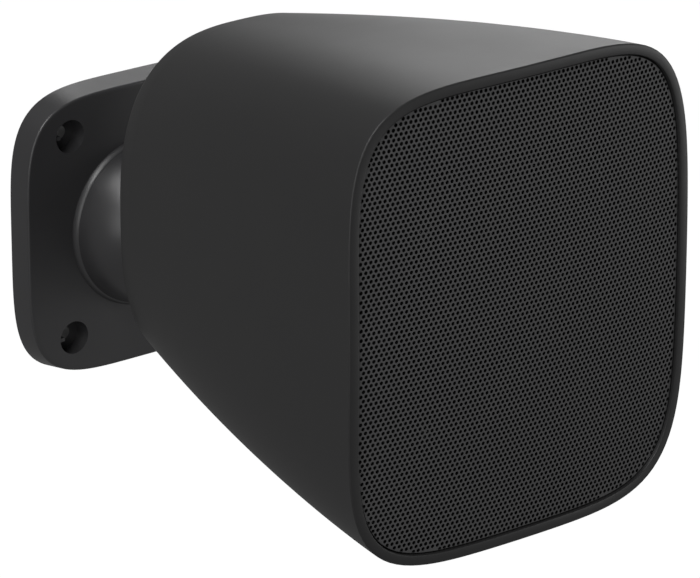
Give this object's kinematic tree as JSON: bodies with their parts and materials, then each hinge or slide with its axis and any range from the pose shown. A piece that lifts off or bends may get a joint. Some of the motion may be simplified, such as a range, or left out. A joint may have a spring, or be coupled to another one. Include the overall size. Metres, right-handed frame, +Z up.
{
  "type": "wall speaker",
  "caption": "Compact wall speaker with a tapered moulded cabinet, a domed perforated grille and a cone driver, on a ball joint and wall plate that let it pan and tilt.",
  "frame": {"origin": "centre of the wall plate's back face, which lies against the wall", "axes": "+Z up, +Y into the wall, so the speaker looks towards -Y; +X to the right as seen from the front"},
  "size_m": [0.1508, 0.2298, 0.1708],
  "materials": {
    "black_moulding": "fine grained matte moulding",
    "bracket_moulding": "fine grained matte moulding",
    "grille_paint": "matte black powder paint on perforated steel",
    "inner_plastic": "matte moulding",
    "basket_paint": "black paint on pressed steel",
    "cone_paper": "coated black paper pulp",
    "soft_rubber": "matte rubber",
    "foam": "closed cell foam",
    "polyester_fill": "loose white fibre",
    "spider_cloth": "resin dipped cloth",
    "ferrite": "dull grey ceramic",
    "zinc_steel": "zinc plated",
    "pin_steel": "ground steel",
    "copper_coil": "enamelled winding",
    "tag_board": "laminated board with tinned tags",
    "terminal_brass": "plated brass"
  },
  "bodies": {
    "bracket": {"wall_plate": "bracket_moulding", "ball_retainer": "bracket_moulding", "retainer_screws": "zinc_steel"},
    "pan_pin": {"cross_pin": "pin_steel"},
    "speaker": {"ball_stud": "bracket_moulding", "stud_screws": "zinc_steel", "cabinet": "black_moulding", "baffle": "inner_plastic", "baffle_seal": "foam", "baffle_screws": "zinc_steel", "grille": "grille_paint", "wadding": "polyester_fill", "driver_basket": "basket_paint", "driver_gasket": "foam", "surround": "soft_rubber", "spider": "spider_cloth", "front_plate": "zinc_steel", "magnet": "ferrite", "pole_piece": "zinc_steel", "tag_strip": "tag_board", "driver_screws": "zinc_steel", "terminal_cup": "inner_plastic", "terminal_block": "inner_plastic", "terminal_screws": "terminal_brass", "cup_screws": "zinc_steel"},
    "moving_cone": {"cone": "cone_paper", "dust_cap": "cone_paper", "voice_coil": "copper_coil"}
  },
  "joints": [
    {"name": "pan", "type": "hinge", "parent": "bracket", "child": "pan_pin", "pos_m": [0, -0.0249, 0], "axis": [0, 0, 1], "range_deg": [-25, 25]},
    {"name": "tilt", "type": "hinge", "parent": "pan_pin", "child": "speaker", "pos_m": [0, -0.0249, 0], "axis": [1, 0, 0], "range_deg": [-12, 20]},
    {"name": "cone_travel", "type": "slide", "parent": "speaker", "child": "moving_cone", "axis": [0, 1, 0], "range_m": [-0.0025, 0.0025], "stiffness_N_per_m": 1400, "deforming": ["surround", "spider"]}
  ]
}
